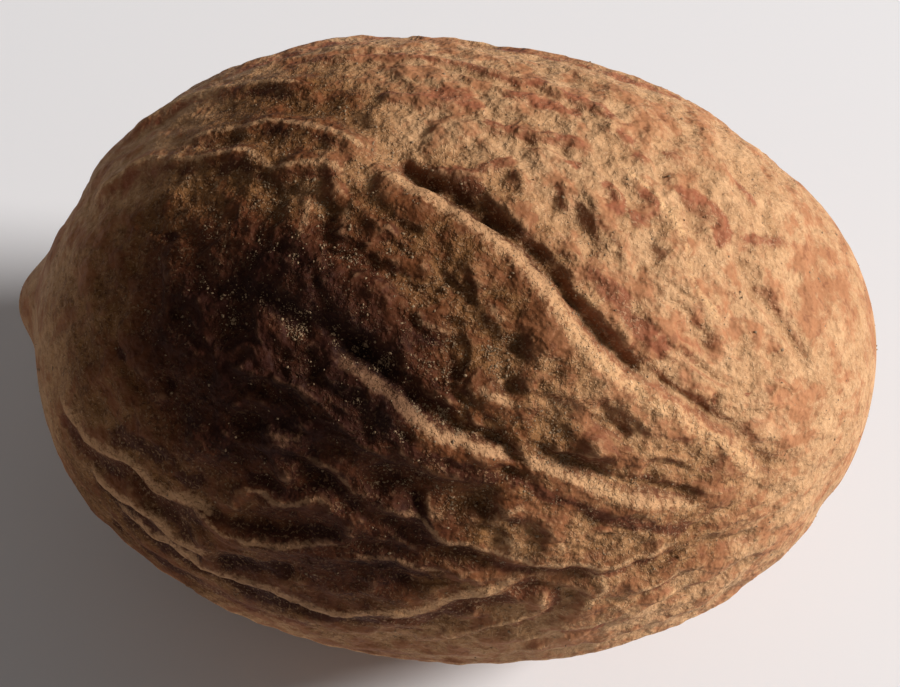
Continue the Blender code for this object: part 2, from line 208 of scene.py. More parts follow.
# The wrinkles of the front: profile, strength, and the places that the line runs through
WRINKLES = {
    # about the main furrow
    "main_lip": ("lip", 1.0, [
        (-1.9, 29.3), (-0.6, 25.5), (0.8, 20.8), (1.7, 17.3), (2.6, 13.5), (3.3, 8.5), (4.0, 2.8),
        (4.8, -0.9), (5.6, -4.8)]),
    "main_lip_end": ("lip", 0.6, [
        (4.8, -0.9), (5.6, -4.8), (6.5, -8.3), (7.4, -11.8), (8.2, -15.8), (8.8, -19.8),
        (9.2, -24.0), (9.5, -28.2)]),
    "furrow_head": ("valley", 0.9, [
        (-5.2, 47.0), (-3.8, 45.5), (-2.7, 43.0), (-2.0, 39.0), (-1.4, 35.0), (-0.6, 31.6),
        (0.3, 28.6)]),
    # painted shade: the furrow's far wall, which faces away from the lamp, is coloured dark red-brown
    "far_wall": ("rust", 0.8, [(3.9, 18.2), (4.6, 15.4), (5.3, 11.4), (6.2, 6.0), (7.0, 2.0)]),
    "far_bank": ("fold", 0.25, [(3.7, 19.5), (4.5, 16.0), (5.3, 12.0), (6.3, 7.5), (7.2, 3.0)]),
    "bank_line": ("ridge", 0.4, [(5.8, 12.8), (5.9, 10.5), (6.0, 8.2)]),

    # nested arcs of the upper left
    "upper_left": ("arc", 1.0, [
        (-9.8, 59.5), (-8.8, 61.0), (-8.0, 61.5), (-7.0, 60.0), (-6.0, 58.0), (-5.0, 55.5),
        (-4.0, 52.2)]),
    "branch": ("arc", 1.1, [
        (-7.8, 41.5), (-6.5, 43.0), (-5.7, 42.5), (-4.8, 42.3), (-4.0, 41.0), (-3.2, 39.0),
        (-2.6, 36.7), (-2.2, 33.0), (-2.0, 30.3)]),
    "shoulder": ("arc", 1.2, [
        (-10.2, 36.5), (-8.8, 39.0), (-8.0, 38.0), (-7.0, 35.5), (-5.6, 35.4), (-5.1, 33.0),
        (-4.5, 30.3), (-3.7, 30.9), (-3.1, 30.8), (-2.3, 27.6)]),

    # the top
    "top_edge": ("cord", 1.4, [
        (-4.6, 64.0), (-3.0, 64.0), (-1.0, 63.0), (0.4, 61.0), (1.7, 58.0), (2.3, 58.3),
        (3.1, 55.5), (4.0, 52.5), (4.7, 48.5)]),
    "top_line": ("ridge", 0.6, [(-5.8, 66.0), (-4.6, 67.0), (-3.0, 68.0), (-1.4, 67.4)]),
    "top_short": ("cord", 1.2, [(-2.5, 50.6), (-1.5, 48.6), (0.5, 47.6), (1.2, 46.8)]),
    "orange_band": ("rust", 0.9, [(0.8, 53.0), (1.8, 52.4), (3.1, 51.4), (4.0, 50.0)]),
    "orange_spot": ("rust", 0.8, [(-1.2, 50.5), (-0.4, 50.2), (0.4, 50.0), (1.1, 49.0)]),
    # painted shade: dark red-brown under the upper lip's ledge
    "under_upper_lip": ("rust", 0.7, [(-0.6, 30.2), (0.0, 30.0), (0.9, 29.8), (1.8, 28.8)]),
    "tip_ridge": ("fold", 0.7, [
        (4.6, 41.5), (5.4, 37.0), (6.2, 32.0), (6.7, 27.5), (7.1, 18.5), (7.7, 14.0), (8.3, 10.0)]),
    "upper_lip": ("cord", 1.6, [
        (-0.7, 31.2), (0.3, 31.6), (1.0, 31.6), (1.45, 33.8), (2.2, 35.0)]),
    "short_upper": ("cord", 1.6, [
        (0.6, 44.0), (1.5, 42.8), (2.4, 42.0), (3.0, 42.5), (3.6, 41.8), (4.2, 40.0)]),

    # small marks of the upper right
    "mark_one": ("cord", 1.3, [(4.4, 48.4), (4.7, 46.4), (5.3, 44.8)]),
    "mark_two": ("cord", 1.3, [(5.8, 48.4), (5.9, 46.2), (6.4, 45.8), (7.0, 47.8)]),
    "mark_three": ("cord", 1.0, [(4.9, 42.8), (5.3, 42.0), (5.8, 41.2)]),
    "mark_four": ("cord", 1.2, [(3.2, 39.4), (3.3, 37.2), (3.9, 35.8)]),
    "mark_five": ("cord", 1.5, [(4.0, 34.8), (4.6, 32.6), (4.8, 30.4), (4.2, 28.2)]),
    "mark_six": ("cord", 1.5, [(5.1, 34.6), (5.7, 33.0), (5.6, 30.2), (5.0, 27.6)]),
    "island_rim": ("fold", 0.35, [(2.7, 24.6), (3.0, 22.7), (3.5, 21.9), (4.0, 22.2), (4.2, 24.8)]),
    "island_dent": ("groove", 0.5, [(2.9, 24.6), (3.4, 24.0), (3.9, 24.4)]),
    "patch_one": ("rust", 0.7, [(4.4, 32.5), (4.8, 30.0), (4.4, 27.5)]),
    "patch_two": ("rust", 0.7, [(4.9, 28.5), (5.4, 29.5), (5.7, 32.5)]),
    "patch_three": ("rust", 0.8, [(7.4, 34.5), (7.8, 31.0), (7.7, 26.5)]),
    "long_mark": ("cord", 1.5, [
        (6.0, 37.4), (6.7, 36.4), (7.2, 36.2), (7.7, 35.0), (7.9, 32.0), (7.9, 28.6)]),
    "mark_hollow": ("valley", 0.80, [(6.4, 34.4), (6.9, 31.5), (7.3, 27.6)]),
    "tip_furrow": ("groove", 1.1, [
        (8.1, 32.5), (8.4, 28.5), (8.8, 23.0), (9.3, 18.5), (9.9, 13.5), (10.3, 9.0), (10.6, 3.0),
        (10.7, -2.5)]),
    "pit_one": ("groove", 0.5, [(4.9, 27.4), (5.0, 26.0), (5.1, 24.6)]),
    "pit_two": ("groove", 0.5, [(8.7, 22.4), (8.9, 20.5), (9.0, 18.6)]),
    "pit_three": ("groove", 0.55, [(7.0, 28.6), (7.2, 26.0), (7.3, 23.0)]),
    "tip_vein": ("cord", 0.6, [(8.0, 30.6), (9.0, 35.0), (10.1, 40.4)]),
    "edge_vein": ("cord", 0.8, [(7.5, 49.2), (8.3, 47.0), (9.1, 42.6)]),
    "ring_mark": ("slit", 0.5, [(7.0, 6.7), (7.1, 4.2), (7.5, 2.7), (7.9, 3.7)]),
    "low_spot": ("slit", 1.0, [(7.9, -4.6), (8.3, -4.8)]),
    "low_spot_two": ("slit", 0.8, [(9.1, -2.4), (9.2, -4.0)]),

    # the broad swell between the two furrows
    "lip_shade": ("valley", 0.2, [(2.6, 9.4), (2.9, 4.0), (3.5, -1.4)]),
    "swell_fold": ("fold", 0.7, [(1.3, 9.8), (2.0, 7.0), (2.5, 3.6)]),
    "swell_groove": ("groove", 0.6, [(0.1, 6.2), (0.7, 4.6), (1.3, 2.6)]),
    "swell_lip": ("ridge", 0.9, [(-0.4, 4.6), (0.5, 3.0), (1.2, 1.2)]),
    "swell_crest": ("fold", 0.8, [(1.2, -3.6), (2.1, -6.3), (3.2, -8.8)]),
    "swell_hollow": ("groove", 1.1, [(1.8, -1.6), (2.4, -4.5), (3.0, -7.2)]),
    "right_hollow": ("valley", 0.8, [(4.7, -4.3), (5.3, -7.3), (5.5, -11.3), (5.2, -15.3)]),
    "gap": ("valley", 1.0, [(3.5, -4.6), (3.7, -10.0), (3.9, -17.2)]),
    "upper_slit": ("slit", 0.8, [(6.2, -20.0), (6.8, -22.3)]),
    "rib_one": ("fold", 0.6, [(-3.5, 27.8), (-3.4, 20.0), (-3.6, 12.0), (-3.2, 8.0)]),
    "rib_two": ("fold", 0.5, [(-2.2, 26.5), (-2.3, 20.0), (-2.0, 13.0)]),
    "rib_gap_one": ("groove", 0.6, [(-2.9, 26.0), (-2.8, 18.0)]),
    "rib_gap_two": ("groove", 0.6, [(-4.3, 27.0), (-4.2, 18.0)]),

    # the edge where the swell drops into the shade, and the second furrow
    "shade_edge": ("scarp", 0.8, [
        (-5.6, 13.0), (-4.4, 10.0), (-3.9, 7.7), (-3.1, 5.8), (-2.4, 4.8), (-1.7, 3.6),
        (-1.0, 1.5), (0.2, -1.2)]),
    "second_lip_head": ("low_lip", 0.22, [
        (-5.0, 3.2), (-3.8, 0.2), (-2.6, -3.0), (-1.6, -5.6)]),
    "second_lip": ("low_lip", 1.0, [
        (-2.6, -3.0), (-1.9, -4.8), (-1.3, -6.5), (-0.7, -9.0), (-0.1, -12.2),
        (0.9, -15.6), (1.8, -17.2), (2.95, -18.8)]),
    "second_lip_end": ("low_lip", 1.0, [
        (2.6, -16.8), (3.6, -19.8), (4.6, -22.6), (5.8, -25.6), (7.1, -28.6), (8.2, -29.8)]),

    # the dark stalk side
    "left_slit": ("slit", 1.0, [(-7.8, 18.7), (-7.3, 18.2), (-6.8, 17.6)]),
    "left_dent": ("groove", 1.0, [(-8.8, 13.0), (-8.4, 11.8), (-8.0, 10.6)]),
    "left_rise": ("fold", 0.5, [(-5.7, 21.0), (-5.7, 13.0), (-5.8, 6.0)]),
    "left_hatch_one": ("slit", 0.8, [(-8.9, -6.0), (-8.5, -8.0), (-8.0, -10.4)]),
    "left_hatch_two": ("slit", 0.8, [(-7.2, -10.0), (-6.8, -12.0), (-6.5, -14.6)]),
    "left_groove": ("groove", 0.8, [(-9.5, -20.5), (-8.9, -24.0), (-8.3, -27.0)]),
    "left_low_rise": ("fold", 0.6, [(-7.3, -13.0), (-7.1, -15.5), (-7.0, -18.0)]),
    "left_hook": ("rim", 0.9, [(-4.2, -17.4), (-3.2, -17.6), (-3.0, -15.6), (-2.6, -13.2)]),
    "left_hook_low": ("ridge", 0.7, [(-3.9, -20.4), (-3.2, -19.3), (-2.8, -18.0)]),
    "left_inner": ("ridge", 1.0, [
        (-3.2, -20.4), (-2.4, -21.8), (-1.9, -22.3), (-1.4, -26.0), (-0.6, -26.9)]),
    "left_short": ("rim", 1.1, [
        (-4.8, -28.2), (-4.0, -28.8), (-3.5, -29.9), (-3.0, -29.8), (-2.4, -28.3), (-1.6, -29.2)]),
    "left_patch": ("rust", 0.7, [(-7.0, -31.4), (-6.2, -31.0), (-5.2, -30.2)]),
    "left_dark": ("rust", 0.6, [(-6.6, -18.4), (-6.0, -17.6), (-5.2, -16.6)]),
    "left_valley": ("valley", 0.7, [(-5.0, -34.4), (-3.5, -34.6), (-2.2, -33.0)]),
    "left_band": ("rust", 0.7, [(-9.0, -28.0), (-7.5, -27.0), (-6.0, -30.0)]),

    # long crests that sweep along the lower front
    "low_one": ("sweep", 1.0, [
        (-10.7, -28.0), (-9.5, -34.0), (-8.8, -34.4), (-8.0, -33.0), (-7.6, -33.8), (-7.2, -36.6),
        (-6.8, -37.0), (-6.0, -36.2), (-5.1, -39.0)]),
    "low_one_end": ("rim", 1.2, [
        (-6.2, -36.2), (-5.6, -37.9), (-5.0, -39.8), (-4.0, -40.0), (-3.4, -39.5), (-2.85, -37.9),
        (-2.2, -36.6), (-1.5, -37.8)]),
    "low_one_tail": ("ridge", 0.8, [(-1.8, -38.2), (-1.0, -39.8), (0.0, -40.0), (1.5, -41.5)]),
    "low_two": ("sweep", 1.2, [
        (-9.6, -43.5), (-8.5, -46.4), (-7.95, -45.5), (-7.4, -46.0), (-6.95, -46.9), (-6.6, -48.8),
        (-6.1, -48.2), (-5.4, -50.0)]),
    "low_three": ("sweep", 0.9, [
        (-8.8, -52.0), (-7.9, -53.5), (-7.4, -54.3), (-6.9, -53.5), (-6.0, -55.0), (-5.3, -54.5),
        (-4.0, -53.6), (-3.5, -53.7), (-2.5, -55.4), (-1.9, -55.9), (-1.3, -55.9), (-0.6, -54.2),
        (0.3, -53.3), (0.95, -50.5), (1.5, -48.0), (2.2, -46.3), (2.8, -44.5), (3.2, -42.3),
        (3.7, -39.4)]),
    "low_edge": ("sweep", 0.35, [(-11.2, -30.0), (-10.8, -45.0), (-10.2, -57.0), (-9.3, -60.5)]),
    "trough_one": ("trough", 1.2, [(-8.6, -36.0), (-7.9, -38.0), (-7.3, -41.5), (-6.6, -43.2),
                                   (-5.7, -46.5)]),
    "trough_two": ("trough", 1.1, [(-5.6, -48.6), (-5.0, -49.2), (-4.0, -47.0), (-2.7, -46.5)]),
    "trough_three": ("trough", 1.0, [
        (-8.8, -53.6), (-8.1, -55.2), (-7.1, -57.0), (-6.2, -57.6), (-5.0, -58.6), (-4.1, -59.6),
        (-2.7, -57.6)]),
    "low_band": ("trough", 0.8, [
        (-9.4, -64.0), (-8.2, -67.0), (-6.4, -67.0), (-5.0, -68.0), (-3.5, -67.0), (-2.1, -68.5)]),
    "low_dent": ("slit", 1.2, [(-0.6, -61.0), (-0.1, -61.0), (0.6, -60.2), (1.0, -60.0)]),
    "low_slit": ("slit", 1.0, [(-0.7, -43.4), (0.0, -44.2), (0.8, -44.3)]),
    "third_lip": ("ridge", 1.1, [
        (-1.0, -28.4), (0.2, -29.2), (0.7, -31.0), (1.1, -33.8), (1.85, -34.6), (2.55, -36.3),
        (3.4, -37.5), (4.05, -38.0), (4.8, -38.1), (5.55, -39.2), (6.3, -38.5), (6.9, -37.3),
        (7.7, -35.4)]),
    "inner_turn": ("ridge", 1.0, [(0.6, -22.0), (0.55, -25.3), (0.7, -28.2), (1.3, -30.9)]),
    "inner_rim": ("ridge", 0.8, [(2.1, -29.0), (2.7, -27.2), (3.8, -27.7)]),
    "inner_hollow": ("valley", 0.8, [(2.4, -24.0), (1.9, -26.5), (1.7, -30.0)]),
    "inner_lump": ("fold", 0.8, [(2.4, -32.6), (3.0, -33.6), (3.4, -35.2)]),
    "inner_lump_two": ("fold", 0.7, [(4.1, -31.0), (4.3, -34.0), (4.6, -36.6)]),
    "hooked_low": ("ridge", 1.1, [
        (0.8, -63.5), (2.0, -59.0), (2.85, -55.6), (3.5, -53.2), (3.9, -50.5), (3.9, -47.0),
        (3.8, -42.8)]),
    "lobe": ("fold", 0.8, [(4.8, -55.0), (5.1, -50.0), (5.6, -46.0), (5.5, -42.0), (4.8, -41.2)]),
    "lobe_dent": ("groove", 0.9, [(4.5, -49.5), (4.8, -47.5), (5.0, -45.5)]),
    "far_low": ("ridge", 0.9, [(4.1, -54.6), (4.9, -58.2), (5.5, -57.4), (6.3, -54.4)]),
    "far_ripple": ("ridge", 0.7, [(6.0, -47.0), (7.0, -47.5), (8.2, -45.0)]),
    "far_ripple_low": ("ridge", 0.7, [(6.4, -52.0), (7.4, -53.5), (8.6, -52.0)]),
    "right_low_furrow": ("groove", 1.2, [
        (7.9, -37.5), (8.5, -41.0), (9.0, -43.6), (9.5, -44.5), (10.2, -45.5)]),
    "right_edge_furrow": ("groove", 1.1, [(6.6, -58.0), (8.0, -59.1), (9.0, -58.1), (10.2, -56.0)]),

    # broad dips where the two ends meet the body
    "stalk_dip": ("valley", 1.3, [(-11.0, 125.0), (-11.5, 85.0), (-11.0, 45.0)]),
    "tip_dip": ("valley", 0.5, [(11.4, -25.0), (11.9, -75.0), (11.4, -125.0)]),
}

# Wavy crests along the back and the underside: as many and as widely spread as in part.py, but a
# little lower, and all but the first run another way. How far a crest may fall short at each
# end, drift around along its way, and how many waves it makes
BACK_CREST_COUNT = 14
BACK_FIRST_AROUND = 78.0
BACK_LAST_AROUND = 282.0
BACK_HALF_LENGTH = 10.4
BACK_SHORT_BY = 5.0
BACK_STEPS = 7
BACK_WAVE = 6.0
BACK_WAVES = 1.1
BACK_DRIFT = 8.0
BACK_CREST = (0.12, 0.24)
BACK_CREST_WIDTH = 0.42
BACK_HOLLOW = (0.05, 0.22)
BACK_HOLLOW_OFFSET = 0.64
BACK_HOLLOW_WIDTH = 0.62
BACK_RUST_OFFSET = -0.55
BACK_RUST_REACH = (0.15, 0.35)
BACK_RUST_SHARE = (0.3, 0.8)
BACK_WORN = Band(0.05, 0.14, 0.8)
BACK_STRENGTH = 0.8
BACK_SEED = 5

# How deep the skin's colour is, from 0 on the tan tip to 1 in the darkest patch. The deep tones on
# the stalk side and the lower front are partly the skin's own browner colour and partly painted
# shade, where that side turns away from the lamp. Each tone is laid over those before it, about a
# place (along, around), whole within the first reach in mm and gone at the second
PLAIN_DEPTH = 0.06
TONES = {
    "front": ((-2.0, -22.0), 3.0, 10.5, 0.54),
    "swell": ((0.0, 12.0), 1.5, 4.5, 0.52),
    "stalk_side": ((-8.0, -5.0), 1.5, 6.0, 0.50),
    "upper_stalk_side": ((-6.0, 12.0), 1.0, 5.2, 0.62),
    "dark_patch_and_shade": ((-4.2, -4.0), 2.0, 5.4, 1.0),
    "low_dark_patch_and_shade": ((-1.8, -12.0), 1.2, 4.4, 1.0),
    "under_the_swell": ((2.0, -20.0), 0.5, 3.2, 0.50),
    "low_stalk_side": ((-8.0, -60.0), 1.5, 5.5, 0.50),
    "low_front": ((-3.0, -46.0), 1.5, 4.0, 0.66),
    "low_middle": ((-1.2, -33.0), 1.4, 3.6, 0.86),
    "low_rim": ((-1.0, -78.0), 0.8, 4.2, 0.32),
    "shoulder": ((-3.8, 29.0), 0.3, 2.0, 0.34),
    "arcs": ((-4.8, 44.0), 1.2, 4.4, 0.50),
    "low_tip_side": ((7.0, -32.0), 1.0, 4.8, 0.34),
}

# Pale dust grains that lie in the hollows: few are large, none is round, and each sinks into the
# skin by a share of its size
DUST_COUNT = 9000
DUST_SMALLEST = 0.013
DUST_LARGEST = 0.045
DUST_RARITY = 5
DUST_SQUASH = (0.5, 1.5)
DUST_KNOBS = (0.6, 1.4)
DUST_NUDGE = 0.05
DUST_SINK = 0.3
DUST_SEED = 11

# The dust begins where the skin is this high over its surroundings, is thickest this much
# lower, and hardly lies anywhere else. It lies in clumps, and not under the kernel.
DUST_TOP = 0.04
DUST_DEPTH = 0.3
DUST_LEAST = 0.03
DUST_CLUMPING = 4.0
DUST_CLUMP_SIZE = 0.35
DUST_LOWEST = 2.0

# Where the dust lies thickest: a middle and a radius, and how much thicker
DUST_SPOTS = (((-3.4, -1.8, 18.4), 3.2, 11.0), ((1.8, -6.4, 15.6), 2.4, 12.0))

# Camera: a long lens that looks down at the upper front, with the picture's framing
CAMERA_AZIMUTH = 7.0
CAMERA_ELEVATION = 58.0
LENS = 100.0
SENSOR = 36.0
FRAME_WIDTH = 27.206
AIM_RIGHT = 0.257
AIM_UP = -0.030

# The light: one soft lamp off the tip end, a little behind, and a weak even sky
KEY_AZIMUTH = 8.0
KEY_ELEVATION = 30.0
KEY_DISTANCE = 0.60
KEY_SIZE = 0.174
KEY_POWER = 5.9
KEY_COLOUR = (1.0, 0.985, 0.98)
SKY_STRENGTH = 0.17
SKY_COLOUR = (1.0, 0.96, 0.94, 1.0)
FLOOR_SIZE = 1.2


def eased(share):
    """The share from 0 to 1 with a smooth start and end."""
    return share * share * (3.0 - 2.0 * share)


def unit_around(around):
    """The outward directions across the long axis at these places around, in degrees."""
    angle = np.radians(np.asarray(around, dtype=float) + ZERO_LINE_ELEVATION)
    return np.stack([np.zeros_like(angle), -np.cos(angle), np.sin(angle)], axis=-1)


def plain_radius(along):
    """The plain kernel's radius at these places along it."""
    from_widest = np.asarray(along, dtype=float) - WIDEST_ALONG
    length = np.where(from_widest > 0.0, TIP_LENGTH, STALK_LENGTH)
    fullness = np.where(from_widest > 0.0, TIP_FULLNESS, STALK_FULLNESS)
    share = np.clip(np.abs(from_widest) / length, 0.0, 1.0)
    return GIRTH_RADIUS * np.sqrt(1.0 - share ** fullness)


def plain_place(along, around):
    """Points on the plain kernel at these places."""
    along = np.asarray(along, dtype=float)
    point = unit_around(around) * plain_radius(along)[..., None]
    point[..., 0] = along
    return point


def smooth_line(places):
    """A smooth line over the skin through a wrinkle's places, as closely spaced places."""
    places = np.array(places, dtype=float)
    padded = np.vstack([2 * places[0] - places[1], places, 2 * places[-1] - places[-2]])
    line = []
    for first in range(len(places) - 1):
        before, start, end, after = padded[first:first + 4]
        gap = np.linalg.norm(plain_place(*start) - plain_place(*end))
        count = max(2, math.ceil(gap / LINE_STEP))
        t = (np.arange(count) / count)[:, None]
        line.append(0.5 * (2 * start + (end - before) * t
                           + (2 * before - 5 * start + 4 * end - after) * t ** 2
                           + (3 * start - before - 3 * end + after) * t ** 3))
    line.append(places[-1:])
    return np.vstack(line)


def across(profile, distance):
    """The profile's height at these distances above its line, or below it where negative."""
    width = np.where(distance > 0.0, profile.above_width, profile.below_width)
    height = profile.crest * np.exp(-(distance / width) ** 2)
    for hollow, outward in ((profile.above, distance), (profile.below, -distance)):
        if hollow:
            height -= hollow.depth * np.exp(-((outward - hollow.offset) / hollow.width) ** 2)
    return height


def add_wrinkle(profile, full_strength, places, skin, uneven, height, rust, worn, named):
    """Raise or lower the skin along one wrinkle, and colour it."""
    places = smooth_line(places)
    line = plain_place(places[:, 0], places[:, 1])
    forward = np.gradient(line, axis=0)
    forward /= np.linalg.norm(forward, axis=1)[:, None]
    sideways = np.cross(unit_around(places[:, 1]), forward)
    travelled = np.concatenate([[0.0], np.cumsum(np.linalg.norm(np.diff(line, axis=0), axis=1))])
    to_end = np.minimum(travelled, travelled[-1] - travelled)
    taper = min(END_TAPER, travelled[-1] / 2)
    strength = full_strength * np.sin(np.clip(to_end / taper, 0.0, 1.0) * math.pi / 2) ** 2

    lowest = line.min(axis=0) - REACH
    highest = line.max(axis=0) + REACH
    near = np.flatnonzero(((skin > lowest) & (skin < highest)).all(axis=1))
    for part in np.array_split(near, max(1, len(near) // POINTS_AT_A_TIME)):
        offset = skin[part, None, :] - line[None, :, :]
        distance = np.linalg.norm(offset, axis=2)
        nearest = distance.argmin(axis=1)
        row = np.arange(len(part))
        side = np.sign((offset[row, nearest] * sideways[nearest]).sum(axis=1))
        distance = side * distance[row, nearest]
        height[part] += uneven[part] * strength[nearest] * across(profile, distance)
        if profile.crest:
            share = np.minimum(strength[nearest], 1.0) * np.exp(-(distance / NAMED_REACH) ** 2)
            named[part] = np.maximum(named[part], share)
        for band, laid in ((profile.rust, rust), (profile.worn, worn)):
            if band:
                share = np.maximum(1.0 - np.abs(distance - band.offset) / (2.0 * band.reach), 0.0)
                share *= np.minimum(PAINT_STRENGTH * strength[nearest], 1.0) * uneven[part] ** 0.5
                share *= band.share
                laid[part] = np.maximum(laid[part], share)


def back_wrinkles():
    """Wavy crests along the back and the underside, as profiles and places."""
    chance = random.Random(BACK_SEED)
    spacing = (BACK_LAST_AROUND - BACK_FIRST_AROUND) / (BACK_CREST_COUNT - 1)
    wrinkles = []
    for index in range(BACK_CREST_COUNT):
        around = BACK_FIRST_AROUND + index * spacing
        start = -BACK_HALF_LENGTH + chance.uniform(0.0, BACK_SHORT_BY)
        end = BACK_HALF_LENGTH - chance.uniform(0.0, BACK_SHORT_BY)
        phase = chance.uniform(0.0, math.tau)
        drift = chance.uniform(-BACK_DRIFT, BACK_DRIFT)
        places = []
        for step in range(BACK_STEPS):
            share = step / (BACK_STEPS - 1)
            wave = BACK_WAVE * math.sin(phase + BACK_WAVES * math.tau * share)
            places.append((start + (end - start) * share, around + wave + drift * share))
        crest = chance.uniform(*BACK_CREST)
        above = Hollow(chance.uniform(*BACK_HOLLOW), BACK_HOLLOW_OFFSET, BACK_HOLLOW_WIDTH)
        below = Hollow(chance.uniform(*BACK_HOLLOW), BACK_HOLLOW_OFFSET, BACK_HOLLOW_WIDTH)
        reach = chance.uniform(*BACK_RUST_REACH)
        rust = Band(BACK_RUST_OFFSET, reach, chance.uniform(*BACK_RUST_SHARE))
        profile = Profile(crest, BACK_CREST_WIDTH, BACK_CREST_WIDTH, above, below, rust, BACK_WORN)
        wrinkles.append((profile, BACK_STRENGTH, places))
    return wrinkles


def smooth_noise(points):
    """Smooth noise between -1 and 1 at these points, with features about one unit across."""
    return np.array([noise.noise(point) for point in points])


def noise_arrows(points):
    """Arrows whose three lengths are smooth noises read at different places."""
    return np.column_stack([smooth_noise(points + shift) for shift in ARROW_SHIFTS])


def flow(skin):
    """The skin's places on a body twisted so that its wrinkles run straight along it."""
    angle = np.arctan2(skin[:, 2], -skin[:, 1])
    around = (np.degrees(angle) - ZERO_LINE_ELEVATION + 90.0) % 360.0 - 90.0
    fall = sum(strength * np.exp(-((around - middle) / width) ** 2)
               for middle, width, strength in FLOW_BANDS)
    run = skin[:, 0] - FLOW_START
    run = np.where(run > 0.0, run, FLOW_BEFORE_START * run)
    angle = angle + fall * run / GIRTH_RADIUS
    off_axis = np.linalg.norm(skin[:, 1:], axis=1)
    return np.column_stack([skin[:, 0], -off_axis * np.cos(angle), off_axis * np.sin(angle)])


def web(flowing, size, stretch, height, crest_share):
    """Small branching crests: where a drawn-out smooth noise passes through zero."""
    bend = WEB_BEND * noise_arrows(flowing / WEB_BEND_SIZE)
    drawn_out = flowing / [stretch, 1.0, 1.0] + bend
    crest = np.clip(1.0 - np.abs(smooth_noise(drawn_out / size)) / (2.0 * crest_share), 0.0, 1.0) ** 2
    return height * (crest - crest.mean())


def terraces(flowing, size, stretch, levels, edge, height):
    """Flats with steep winding edges, where a smooth noise is cut into levels."""
    bend = TERRACE_BEND * noise_arrows(flowing / TERRACE_BEND_SIZE)
    drawn_out = (flowing / [stretch, 1.0, 1.0] + bend) / size
    finer = smooth_noise(FINER_TIMES * drawn_out + FINER_SHIFT)
    level = levels * (smooth_noise(drawn_out) + FINER_SHARE * finer)
    whole = np.floor(level)
    climb = np.clip((level - whole) / edge, 0.0, 1.0)
    return height * (whole + eased(climb))


def smooth_about_rest(skin):
    """1 over the wrinkled skin, falling to 0 over the smooth skin about the rest spot."""
    rest = plain_place(0.0, UNDERSIDE)
    distance = np.linalg.norm(skin - rest, axis=1)
    return eased(np.clip((distance - SMOOTH_INNER) / (SMOOTH_OUTER - SMOOTH_INNER), 0.0, 1.0))


def knob(skin):
    """How far the knob at the stalk end stands out of the plain kernel, along -X."""
    middle = KNOB_OFF_AXIS * unit_around(90.0)
    off_axis = np.linalg.norm(skin[:, 1:] - middle[1:], axis=1)
    height = KNOB_HEIGHT * np.exp(-(off_axis / KNOB_RADIUS) ** KNOB_BLUNTNESS)
    return np.where(skin[:, 0] < 0.0, height, 0.0)


def lean(skin):
    """How far each point is moved because the two ends lean off the long axis."""
    from_widest = skin[:, 0] - WIDEST_ALONG
    toward_tip = TIP_LEAN * (np.maximum(from_widest, 0.0) / TIP_LENGTH) ** LEAN_POWER
    toward_stalk = STALK_LEAN * (np.maximum(-from_widest, 0.0) / STALK_LENGTH) ** LEAN_POWER
    return (toward_tip + toward_stalk)[:, None] * unit_around(90.0)


def plain_skin(sphere):
    """The plain kernel's points for the points of a unit sphere."""
    ring = np.linalg.norm(sphere[:, 1:], axis=1)
    length = np.where(sphere[:, 0] > 0.0, TIP_LENGTH, STALK_LENGTH)
    along = WIDEST_ALONG + length * sphere[:, 0]
    across = sphere[:, 1:] * (plain_radius(along) / np.maximum(ring, 1e-9))[:, None]
    return np.column_stack([along, across])


def relief_of(skin, flowing):
    """How far the relief stands over the plain kernel in mm, its red-brown skin and painted shade,
    and its pale worn skin and painted highlights.
    """
    uneven = 1.0 + UNEVENNESS * smooth_noise(skin / UNEVEN_SIZE)
    wavering = skin.copy()
    for size, reach in WAVER:
        wavering += reach * noise_arrows(skin / size)
    wrinkles = [(PROFILES[profile], *rest) for profile, *rest in WRINKLES.values()]
    large = SWELL_HEIGHT * smooth_noise(skin / SWELL_SIZE)
    rust = np.zeros(len(skin))
    worn = np.zeros(len(skin))
    named = np.zeros(len(skin))
    for wrinkle in wrinkles + back_wrinkles():
        add_wrinkle(*wrinkle, wavering, uneven, large, rust, worn, named)

    small = np.zeros(len(skin))
    for settings in WEBS:
        small += web(flowing, *settings)
    for settings in TERRACES:
        small += terraces(flowing, *settings)
    small *= 1.0 - NAMED_CALM * named
    for size, height in GRAINS:
        small += height * smooth_noise(skin / size)
    for start, end, share in CALM_ENDS:
        calm = np.clip((skin[:, 0] - start) / (end - start), 0.0, 1.0)
        small *= 1.0 - (1.0 - share) * calm
    off_axis = np.linalg.norm(skin[:, 1:], axis=1)
    small *= np.clip(off_axis / WEB_END_RADIUS, 0.0, 1.0) ** 2
    off_the_sides = np.abs(skin @ unit_around(0.0)) / np.maximum(off_axis, 1e-6)
    small *= SIDE_RELIEF + (FRONT_RELIEF - SIDE_RELIEF) * off_the_sides
    return (small + large) * smooth_about_rest(skin), rust, worn


def depth_of(skin):
    """How deep the skin's colour is at each point, partly the skin's own tone and partly painted
    shade.
    """
    depth = np.full(len(skin), PLAIN_DEPTH)
    for place, inner, outer, tone in TONES.values():
        distance = np.linalg.norm(skin - plain_place(*place), axis=1)
        depth += (tone - depth) * eased(np.clip((outer - distance) / (outer - inner), 0.0, 1.0))
    return depth


def neighbour_average(values, edges, steps):
    """The values averaged with their neighbours' along the mesh's edges, this many times."""
    count = np.bincount(edges.ravel(), minlength=len(values))
    for _ in range(steps):
        total = np.bincount(edges[:, 0], values[edges[:, 1]], len(values))
        total += np.bincount(edges[:, 1], values[edges[:, 0]], len(values))
        values = 0.5 * values + 0.5 * total / count
    return values


def cube_mesh(name):
    """A cube whose six sides are each cut into an even grid."""
    shape = bmesh.new()
    bmesh.ops.create_cube(shape, size=2.0)
    bmesh.ops.subdivide_edges(shape, edges=shape.edges[:], cuts=SIDE_SQUARES - 1, use_grid_fill=True)
    mesh = bpy.data.meshes.new(name)
    shape.to_mesh(mesh)
    shape.free()
    return mesh


